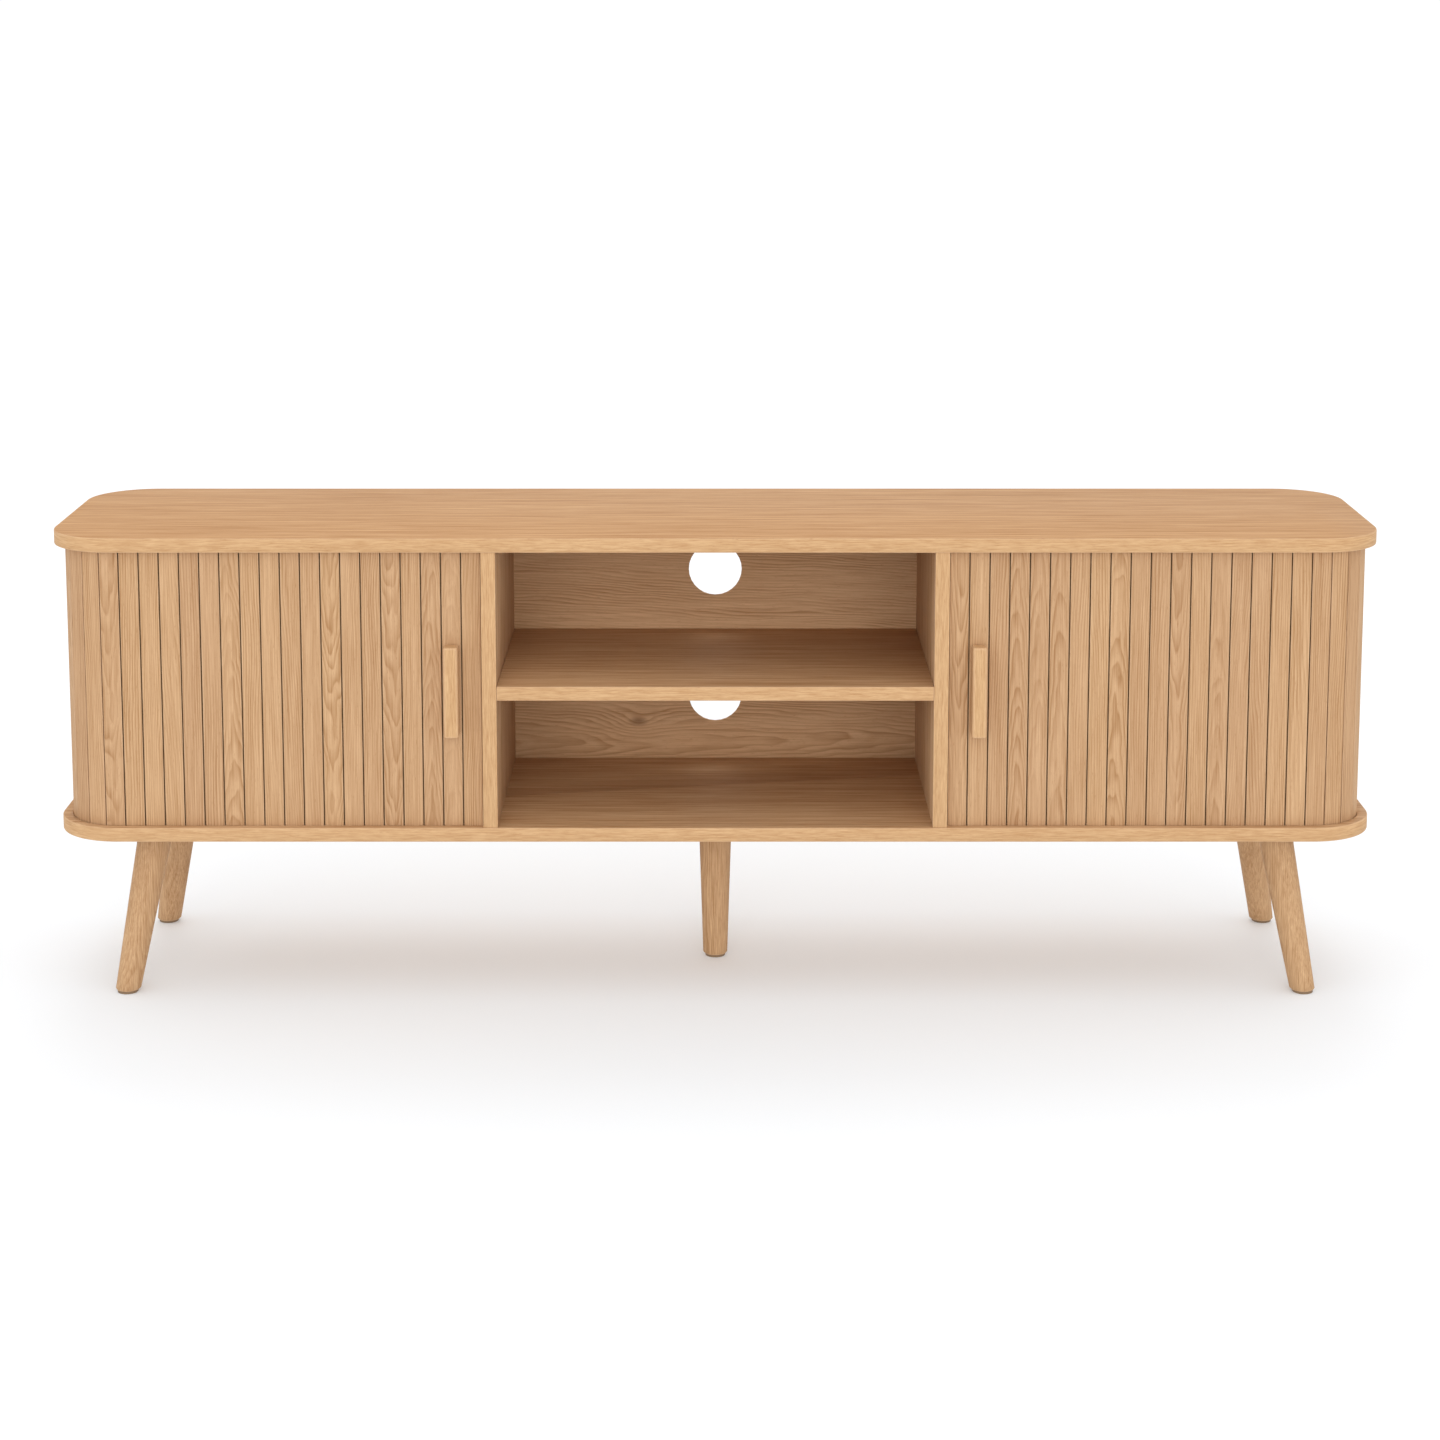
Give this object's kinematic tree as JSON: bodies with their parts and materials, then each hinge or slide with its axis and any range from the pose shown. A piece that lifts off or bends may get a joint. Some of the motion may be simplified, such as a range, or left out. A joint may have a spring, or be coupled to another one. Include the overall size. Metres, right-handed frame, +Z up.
{
  "type": "media cabinet",
  "caption": "Low media cabinet with rounded ends on splayed round legs, an open centre bay with a shelf, and a sliding tambour door on each side.",
  "frame": {"origin": "on the floor under the middle of the cabinet, at the underside of the centre foot", "axes": "+X to the right along the width as seen from the front, +Y from the front to the back, +Z up"},
  "size_m": [1.4, 0.3071, 0.5],
  "materials": {
    "oak_board": "oak veneer on board, clear satin lacquer, solid oak lipping on the edges",
    "oak_slat": "narrow oak slats, clear satin lacquer, canvas on the back",
    "solid_oak": "turned or milled solid oak, clear satin lacquer",
    "oak_back": "thin oak veneered board",
    "nickel_pin": "nickel plated steel pin",
    "zinc_bolt": "zinc plated steel",
    "black_plate": "black powder coated steel",
    "nylon_glide": "dark nylon"
  },
  "bodies": {
    "cabinet": {"top_panel": "oak_board", "bottom_panel": "oak_board", "centre_shelf": "oak_board", "back_panel": "oak_back", "left_divider": "oak_board", "left_end_panel": "oak_board", "left_shelf": "oak_board", "left_pocket_spacer": "oak_board", "left_rear_cover": "oak_back", "left_front_inner_shelf_pin": "nickel_pin", "left_front_outer_shelf_pin": "nickel_pin", "left_back_inner_shelf_pin": "nickel_pin", "left_back_outer_shelf_pin": "nickel_pin", "left_front_curtain": "oak_slat", "left_front_corner_curtain": "oak_slat", "left_side_curtain": "oak_slat", "left_rear_corner_curtain": "oak_slat", "right_divider": "oak_board", "right_end_panel": "oak_board", "right_shelf": "oak_board", "right_pocket_spacer": "oak_board", "right_rear_cover": "oak_back", "right_front_inner_shelf_pin": "nickel_pin", "right_front_outer_shelf_pin": "nickel_pin", "right_back_inner_shelf_pin": "nickel_pin", "right_back_outer_shelf_pin": "nickel_pin", "right_front_curtain": "oak_slat", "right_front_corner_curtain": "oak_slat", "right_side_curtain": "oak_slat", "right_rear_corner_curtain": "oak_slat", "centre_leg": "solid_oak", "centre_leg_bolt": "zinc_bolt", "centre_leg_plate": "black_plate", "centre_foot_glide": "nylon_glide", "front_left_leg": "solid_oak", "front_left_leg_bolt": "zinc_bolt", "front_left_leg_plate": "black_plate", "front_left_foot_glide": "nylon_glide", "front_right_leg": "solid_oak", "front_right_leg_bolt": "zinc_bolt", "front_right_leg_plate": "black_plate", "front_right_foot_glide": "nylon_glide", "back_left_leg": "solid_oak", "back_left_leg_bolt": "zinc_bolt", "back_left_leg_plate": "black_plate", "back_left_foot_glide": "nylon_glide", "back_right_leg": "solid_oak", "back_right_leg_bolt": "zinc_bolt", "back_right_leg_plate": "black_plate", "back_right_foot_glide": "nylon_glide"},
    "left_door": {"left_lead_rail": "oak_slat", "left_grip_slat": "oak_slat", "left_handle": "solid_oak"},
    "left_tail": {"left_tail_slats": "oak_slat"},
    "right_door": {"right_lead_rail": "oak_slat", "right_grip_slat": "oak_slat", "right_handle": "solid_oak"},
    "right_tail": {"right_tail_slats": "oak_slat"}
  },
  "joints": [
    {"name": "left_door_slide", "type": "slide", "parent": "cabinet", "child": "left_door", "axis": [-1, 0, 0], "range_m": [0, 0.336], "deforming": ["left_front_curtain"]},
    {"name": "left_tail_slide", "type": "slide", "parent": "cabinet", "child": "left_tail", "axis": [1, 0, 0], "range_m": [0, 0.336]},
    {"name": "right_door_slide", "type": "slide", "parent": "cabinet", "child": "right_door", "axis": [1, 0, 0], "range_m": [0, 0.336], "deforming": ["right_front_curtain"]},
    {"name": "right_tail_slide", "type": "slide", "parent": "cabinet", "child": "right_tail", "axis": [-1, 0, 0], "range_m": [0, 0.336]}
  ],
  "couplings": [
    {"joint": "left_tail_slide", "follows": "left_door_slide", "ratio": 1},
    {"joint": "right_tail_slide", "follows": "right_door_slide", "ratio": 1}
  ]
}
